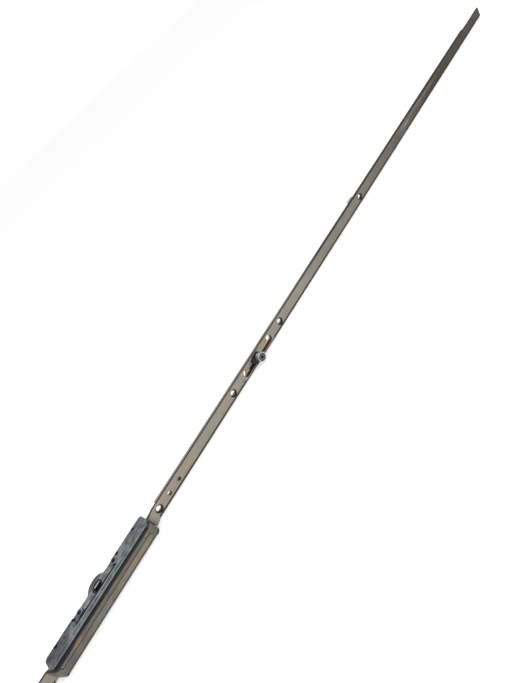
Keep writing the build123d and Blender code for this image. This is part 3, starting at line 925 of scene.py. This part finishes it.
@dataclass
class Strip(SubAssembly):
    """Faceplates, raised cover with its spacers and rivets, and guide clip.

    Attributes:
        start: Where the flat faceplates start, on both sides of the case.
        cam: Place of the upper cam.
        cover_face: Depth about the outer face of the raised cover.
        plate_face: Depth about the outer face of the faceplates.
        cover_edge: Depth of the edges of the cover, down to the gap above the case.
        plate_edge: Depth of the edges of the faceplates.
        hole_wall: Depth of the walls of holes and slots, without the plate's two faces.
        slot_wall: Depth of the long wall of the cam slot.
    """

    title: str = "strip"
    start: float = 66.0
    cam: float = field(default_factory=lambda: middle_mm("upper_cam_retainer"))
    cover_face: Span = (-17.2, -16.5)
    plate_face: Span = (-7.7, -7.3)
    cover_edge: Span = (-17.2, -14.0)
    plate_edge: Span = (-7.7, -5.0)
    hole_wall: Span = (-7.38, -5.58)
    slot_wall: Span = (-7.3, -5.4)

    def __post_init__(self) -> None:
        """Give the nodes of the strip their finishes."""
        # Yellow-passivated zinc plating on cold-rolled strip: warm grey with a faint oily sheen
        strip = PassivatedStrip(
            "zinc-plated strip, passivated",
            "#918a80",
            roughness=0.5,
            metallic=0.8,
            grain_mm=1.2,
            relief_mm=0.008,
            painted_marks=self.painted_marks(),
        )
        # Natural acetal clip: cream foot, and a head that took on the brown of the strip
        cream = MouldedPlastic(
            "moulded acetal, natural",
            "#cfcabb",
            roughness=0.5,
            metallic=0.0,
            grain_mm=0.9,
            relief_mm=0.02,
            painted_marks=(PaintedMark("#736853", None, (-7.8, -5.0), None, 0.97, (1.0, 0.6, 1.0)),),
            scuff="#8a8270",
        )
        self.finishes = {
            "upper_faceplate": strip,
            "lower_faceplate": strip,
            "upper_cover": strip,
            "upper_cover_spacer": SPACER,
            "lower_cover_spacer": SPACER,
            "cover_rivets": RIVET,
            "guide_clip": cream,
        }

    def painted_marks(self) -> tuple[PaintedMark, ...]:
        """Give the marks on the faceplates and the cover, painted shade among them.

        Returns:
            The marks, lowest first.
        """
        start, cam, cover, plate = self.start, self.cam, self.cover_face, self.plate_face
        gap, edge, wall, slot = self.cover_edge, self.plate_edge, self.hole_wall, self.slot_wall
        return (
            # Painted shade on the inner walls of the holes and slots, matt
            PaintedMark("#1d1916", (start, FAR), wall, (-5.2, 5.2), 0.95, (2.0, 0.06, 1.0), hides_shine=True),
            PaintedMark("#1d1916", (-FAR, -start), wall, (-5.2, 5.2), 0.95, (2.0, 0.06, 1.0), hides_shine=True),
            # Old rust on the wall of the cam slot
            PaintedMark("#70503a", (cam + 3, cam + 27), slot, (-4.4, -3.3), 0.6, (4.0, 0.2, 0.2), 2.0),
            PaintedMark("#4d3c26", (cam - 25, cam - 8), slot, (-4.4, -3.3), 0.7, (4.0, 0.2, 0.2), 2.0),
            # Painted shade along the edges on the hidden side, matt, all along the faceplates and the
            # cover
            PaintedMark("#191916", (start, cam - 25), edge, (-7.0, -3.9), 0.97, (2.0, 0.1, 0.7), hides_shine=True),
            PaintedMark("#1d201b", (cam - 26, cam + 28), edge, (-7.0, -4.75), 0.97, (2.0, 0.1, 0.4), hides_shine=True),
            PaintedMark("#191916", (cam + 28, FAR), edge, (-7.0, -3.8), 0.97, (2.0, 0.1, 0.7), hides_shine=True),
            PaintedMark("#191916", (-FAR, -start), edge, (-7.0, -3.9), 0.97, (2.0, 0.1, 0.7), hides_shine=True),
            PaintedMark("#14120f", (-57.0, 60.0), gap, (-7.0, -4.1), 0.94, (3.0, 0.4, 1.6), hides_shine=True),
            # Seam of the two cover plates, filled with dirt, with its steps at both ends
            PaintedMark(DIRT_AND_SHADE, (-54.0, 54.2), cover, (1.1, 1.85), 0.85, (0.4, 0.2, 0.35), hides_shine=True),
            PaintedMark(DIRT_AND_SHADE, (53.6, 54.4), cover, (-1.3, 1.7), 0.9, (0.3, 0.2, 0.3), hides_shine=True),
            PaintedMark(DIRT_AND_SHADE, (53.8, 55.9), cover, (-1.5, -0.8), 0.9, (0.3, 0.2, 0.3), hides_shine=True),
            PaintedMark(DIRT_AND_SHADE, (-54.4, -53.6), cover, (1.2, 4.2), 0.9, (0.3, 0.2, 0.3), hides_shine=True),
            PaintedMark(DIRT_AND_SHADE, (-57.0, -53.8), cover, (3.6, 4.3), 0.9, (0.3, 0.2, 0.3), hides_shine=True),
            PaintedMark(DIRT_AND_SHADE, (55.2, 60.4), (-17.2, -10.0), (-1.45, -0.85), 0.6, (0.5, 0.5, 0.35), hides_shine=True),
            # Painted shade on the side of the cover, in the gap above the case, matt
            PaintedMark("#151214", (-57.0, 0.0), gap, (5.1, 6.2), 0.96, (1.5, 0.4, 0.3), hides_shine=True),
            PaintedMark("#151214", (-58.0, -36.0), gap, (4.5, 6.2), 0.96, (16.0, 0.4, 0.3), hides_shine=True),
            PaintedMark("#241f1d", (0.0, 57.0), (-17.2, -12.0), (5.1, 6.2), 0.97, (1.5, 0.4, 0.3), hides_shine=True),
            # Painted shade where the faceplate leaves the nose of the cover
            PaintedMark(DIRT_AND_SHADE, (59.0, 61.2), (-10.6, -9.4), None, 0.85, (0.6, 0.4, 1.0)),
            # Straw tint of the lower cover plate towards the nose
            PaintedMark("#938c7c", (14.0, 53.0), cover, (-3.6, 0.9), 0.6, (16.0, 0.2, 1.2)),
            # Green tint of its middle
            PaintedMark("#868c7a", (-26.0, 15.0), cover, (-4.0, 0.9), 0.5, (10.0, 0.2, 1.2), 5.0),
            # Red tint of the passivation
            PaintedMark("#8a5650", (28.0, 37.0), cover, (1.8, 3.9), 0.55, (6.0, 0.2, 1.4)),
            # Bluish patches and straw patches of the cover
            PaintedMark("#5c6068", (-30.0, -22.0), cover, (2.0, 5.5), 0.55, (6.0, 0.2, 1.5)),
            PaintedMark("#6a8078", (-16.0, -8.0), cover, (-3.5, 0.0), 0.5, (6.0, 0.2, 2.0)),
            PaintedMark("#8c7a52", (-37.0, -30.0), cover, (2.0, 5.5), 0.45, (6.0, 0.2, 1.5)),
            # Straw line beside the blind hole
            PaintedMark("#b09a62", (108.0, 124.0), plate, (-1.0, 1.5), 0.45, (10.0, 0.1, 1.4)),
            # Rub marks between the lowest hole of the cam slot and the screw above it
            PaintedMark("#5d534d", (206.6, 209.2), plate, (-4.4, -1.6), 0.65, (2.0, 0.1, 1.0)),
            PaintedMark("#6a605a", (200.8, 203.0), plate, (-4.4, -2.2), 0.6, (2.0, 0.1, 1.0)),
            PaintedMark("#6a605a", (196.6, 198.4), plate, (-4.4, -2.6), 0.55, (1.6, 0.1, 1.0)),
            PaintedMark("#7f7670", (168.0, 173.0), plate, (-4.0, 2.0), 0.4, (2.0, 0.1, 2.0), 2.0),
            # Darker band along the edge just below the cam, matt
            PaintedMark("#231f1c", (224.0, 232.0), plate, (-7.0, -4.4), 0.7, (6.0, 0.1, 0.8), hides_shine=True),
            # Oil film with a green and violet sheen near the far end, and brown patches before it
            PaintedMark("#4f4238", (555.0, 580.0), plate, (-3.5, 4.0), 0.5, (8.0, 0.1, 2.0), 4.0),
            PaintedMark("#4a6a70", (582.0, 594.0), plate, (-4.8, -1.8), 0.65, (6.0, 0.1, 1.6)),
            PaintedMark("#6f9184", (590.0, 607.0), plate, (0.0, 3.6), 0.65, (8.0, 0.1, 1.6)),
            PaintedMark("#85607a", (583.0, 594.0), plate, (2.6, 5.0), 0.5, (6.0, 0.1, 1.4)),
            # Paler line along the far end, where fingers rub it
            PaintedMark("#857a68", (610.0, 690.0), plate, (1.4, 4.4), 0.5, (70.0, 0.1, 1.4)),
        )


@dataclass
class DriveRods(SubAssembly):
    """Rack and drive rods with the rivets between them.

    Attributes:
        cam: Place of the upper cam.
        front: Depth about the front of the rods, which is the floor of the slots.
        side: Width about the side of the rods that shows under the faceplate.
    """

    title: str = "drive rods"
    cam: float = field(default_factory=lambda: middle_mm("upper_cam_retainer"))
    front: Span = (-5.5, -5.2)
    side: Span = (5.3, 6.2)

    def __post_init__(self) -> None:
        """Give the rack and the rods their finishes."""
        # Same plated strip for the rods, kept cleaner behind the faceplate: a little greener
        rod = PassivatedStrip(
            "zinc-plated rod, passivated",
            "#928f80",
            roughness=0.5,
            metallic=0.55,
            grain_mm=1.2,
            relief_mm=0.008,
            painted_marks=self.painted_marks(),
            hues=(sheen("#879a8f", 7.0, 0.52, 0.6, 3.2), sheen("#a39a8c", 9.0, 0.55, 0.4, 3.2)),
            side_tone="#a2988c",
            far_tones=(far_tone("#6f6a60", 430.0, 700.0),),
        )
        self.finishes = {
            "rack_slide": rod,
            "rod_rivets": RIVET,
            "upper_drive_rod": rod,
            "lower_drive_rod": rod,
        }

    def painted_marks(self) -> tuple[PaintedMark, ...]:
        """Give the marks on the rods, painted shade and a painted reflection among them.

        Returns:
            The marks, lowest first.
        """
        cam, front, side = self.cam, self.front, self.side
        return (
            # Golden line on the rod beside the slot wall: old grease under a painted reflection of the
            # wall; beyond it, painted shade over rust in the corner under the wall
            PaintedMark("#f2b868", (cam - 24, cam + 27), front, (-2.0, -1.2), 1.0, (1.5, 0.1, 0.4)),
            PaintedMark("#2a1d12", (cam - 25, cam + 28), front, (-6.2, -2.0), 0.96, (1.5, 0.1, 0.4), hides_shine=True),
            # Black patch on the rod in the slot, just below the cam
            PaintedMark("#0c0c0e", (cam - 14, cam - 4), front, (-6.2, -0.6), 0.96, (3.0, 0.1, 0.6)),
            # Painted shade along the back corner and the front corner of the side that shows under the
            # faceplate, and over the whole side towards the far end, matt
            PaintedMark("#3f3b36", None, (-2.75, 0.0), side, 0.8, (1.0, 0.3, 0.2), hides_shine=True),
            PaintedMark("#35322d", (330.0, FAR), (-5.6, 0.0), side, 0.9, (110.0, 0.3, 0.2), hides_shine=True),
            PaintedMark("#2d2926", None, (-5.6, -5.1), side, 0.85, (1.0, 0.3, 0.2), hides_shine=True),
            # Rust that bled out beside the cam
            PaintedMark("#8a6a4c", (cam + 10, cam + 30), (-5.4, -2.0), side, 0.35, (16.0, 1.0, 0.2)),
        )


@dataclass
class RollerCam(SubAssembly):
    """One roller cam with its shoe, washer and bearing plate.

    Attributes:
        end: Which end of the gearbox it serves.
    """

    title: str = "roller cam"
    end: End = End.UPPER

    def __post_init__(self) -> None:
        """Find where the roller stands, and give the nodes of the cam their finishes."""
        name = f"{self.end.value}_cam"
        axis_mm = middle_mm(f"{self.end.value}_cam_roller")
        self.finishes = {
            f"{name}_pin": self.greased(axis_mm),
            f"{name}_roller": self.plated(axis_mm),
            f"{name}_slider": BLACK,
            f"{name}_washer": BLACK,
            f"{name}_retainer": BLACK,
        }

    def plated(self, axis_mm: float) -> TurnedSteel:
        """Give the turned steel of the roller, plated blue and worn pale at its rim.

        Args:
            axis_mm: Place of its axis along the strip.

        Returns:
            The finish.
        """
        return TurnedSteel(
            f"turned steel, blue plated {axis_mm:.0f}",
            "#a3b1c2",
            roughness=0.34,
            metallic=0.7,
            grain_mm=0.35,
            relief_mm=0.01,
            centre_mm=axis_mm,
            rim="#b4bac1",
            dull="#5d6672",
            rings=(Ring("#b3b4b6", 3.85, 5.2, 0.95), Ring("#2d2f32", 0.0, 3.95, 0.9)),
        )

    def greased(self, axis_mm: float) -> TurnedSteel:
        """Give the darker turned steel of the pin, dull with grease, with painted shade in its socket.

        Args:
            axis_mm: Place of its head along the strip.

        Returns:
            The finish.
        """
        return TurnedSteel(
            f"turned steel, greased {axis_mm:.0f}",
            "#45484b",
            roughness=0.45,
            metallic=0.5,
            grain_mm=0.35,
            relief_mm=0.01,
            centre_mm=axis_mm,
            rim="#6a6d70",
            dull="#303336",
            rings=(
                Ring("#1b1c1e", 3.0, 4.2, 0.95),
                Ring("#616365", 1.9, 2.9, 0.9),
                Ring("#404244", 1.35, 1.9, 0.9),
                # Painted shade in the socket
                Ring("#040404", 0.0, 1.3, 1.0),
            ),
        )


@dataclass(frozen=True)
class Lamp:
    """A square softbox.

    Attributes:
        place: Where it hangs, in metres.
        side: Its side in metres.
        power: Its power in watts.
    """

    place: tuple[float, float, float]
    side: float
    power: float


@dataclass
class Studio:
    """Plain pale floor and soft light.

    Attributes:
        floor_size: Side of the floor, in metres.
        floor_tone: Colour of the floor.
        floor_roughness: Roughness of its matt paper.
        floor_glow: Light that the backlit floor gives off itself, which keeps its shadows faint.
        horizon: Strength of the light from the horizon, as seen behind the floor.
        zenith: Strength of the light from above.
        fade: Upward share of the direction where the light starts and stops weakening.
        lamps: Softboxes around the gearbox.
    """

    floor_size: float = 60.0
    floor_tone: str = "#ffffff"
    floor_roughness: float = 0.8
    floor_glow: float = 0.35
    horizon: float = 1.0
    zenith: float = 0.51
    fade: Span = (0.28, 0.6)
    lamps: tuple[Lamp, ...] = (
        Lamp((-0.5, -1.3, 1.5), 1.2, 8.3),
        Lamp((1.4, -0.8, 1.3), 1.4, 6.8),
        Lamp((0.2, 1.1, 1.6), 1.2, 6.0),
    )

    def build(self, aim: Vector) -> None:
        """Lay the floor and hang the lamps.

        Args:
            aim: Point that the lamps face, in metres.
        """
        half = self.floor_size / 2
        mesh = bpy.data.meshes.new("studio_floor")
        corners = [(x, y, 0.0) for x, y in ((-half, -half), (half, -half), (half, half), (-half, half))]
        mesh.from_pydata(corners, [], [(0, 1, 2, 3)])
        floor = bpy.data.objects.new("studio_floor", mesh)
        floor.location = (aim.x, aim.y, CAD_LOW.z)
        bpy.context.scene.collection.objects.link(floor)
        mesh.materials.append(self.paper())
        bpy.context.scene.world = self.sky()
        for number, lamp in enumerate(self.lamps):
            light = bpy.data.lights.new(f"softbox_{number}", "AREA")
            light.size = lamp.side
            light.energy = lamp.power
            holder = bpy.data.objects.new(light.name, light)
            holder.location = lamp.place
            holder.rotation_euler = (aim - Vector(lamp.place)).to_track_quat("-Z", "Y").to_euler()
            bpy.context.scene.collection.objects.link(holder)
        LOG.info("studio: floor and %d lamps", len(self.lamps))

    def sky(self) -> bpy.types.World:
        """Make the even white light from all round, weaker from above.

        Returns:
            The new world.
        """
        world = bpy.data.worlds.new("studio")
        world.use_nodes = True
        tree = world.node_tree
        way = add_node(tree, "ShaderNodeTexCoord").outputs["Generated"]
        height = add_node(tree, "ShaderNodeSeparateXYZ", {}, {0: way}).outputs["Z"]
        reach = {"Value": height, "From Min": self.fade[0], "From Max": self.fade[1]}
        strength = add_node(
            tree, "ShaderNodeMapRange", {}, {**reach, "To Min": self.horizon, "To Max": self.zenith}
        )
        tree.links.new(strength.outputs["Result"], tree.nodes["Background"].inputs["Strength"])
        tree.nodes["Background"].inputs["Color"].default_value = hex_to_linear("#ffffff")
        return world

    def paper(self) -> bpy.types.Material:
        """Make the matt backlit paper of the floor.

        Returns:
            The new material.
        """
        material = bpy.data.materials.new("studio paper, matt")
        material.use_nodes = True
        shader = material.node_tree.nodes["Principled BSDF"]
        shader.inputs["Base Color"].default_value = hex_to_linear(self.floor_tone)
        shader.inputs["Roughness"].default_value = self.floor_roughness
        shader.inputs["Emission Color"].default_value = hex_to_linear(self.floor_tone)
        shader.inputs["Emission Strength"].default_value = self.floor_glow
        return material


@dataclass
class PhotoCamera:
    """Camera where the photograph was taken from, found by fitting the handle holes and the strip.

    Attributes:
        place_mm: Where the camera is.
        target_mm: Point in the middle of the picture.
        roll_deg: Turn about the line of sight.
        focal_px: Distance to the picture, in its own pixels.
        long_side_px: Long side of the picture.
        sensor_mm: Long side of the sensor.
        nearest: Distance in metres from which the camera sees.
    """

    place_mm: tuple[float, float, float] = (78.28, -364.69, 251.61)
    target_mm: tuple[float, float, float] = (246.21, -5.71, 9.74)
    roll_deg: float = -43.19
    focal_px: float = 480.0
    long_side_px: float = 683.0
    sensor_mm: float = 36.0
    nearest: float = 0.01

    def build(self) -> None:
        """Set the camera up and make it the scene's own."""
        data = bpy.data.cameras.new("photo_camera")
        data.sensor_width = self.sensor_mm
        data.lens = self.sensor_mm * self.focal_px / self.long_side_px
        data.clip_start = self.nearest
        camera = bpy.data.objects.new("photo_camera", data)
        place = Vector(self.place_mm) * MM
        sight = Vector(self.target_mm) * MM - place
        upright = sight.to_track_quat("-Z", "Y").to_matrix().to_4x4()
        roll = Matrix.Rotation(math.radians(self.roll_deg), 4, "Z")
        camera.matrix_world = Matrix.Translation(place) @ upright @ roll
        bpy.context.scene.collection.objects.link(camera)
        bpy.context.scene.camera = camera
        LOG.info("camera: lens %.1f mm", data.lens)


def main() -> None:
    """Dress the gearbox, then set up the studio and the camera."""
    logging.basicConfig(level=logging.INFO, format="%(name)s %(message)s")
    for group in (GearCase(), Strip(), DriveRods(), RollerCam(end=End.UPPER), RollerCam(end=End.LOWER)):
        group.dress()
    Studio().build((CAD_LOW + CAD_HIGH) / 2)
    PhotoCamera().build()
    bpy.context.scene.view_settings.view_transform = "Standard"


if __name__ == "__main__":
    main()
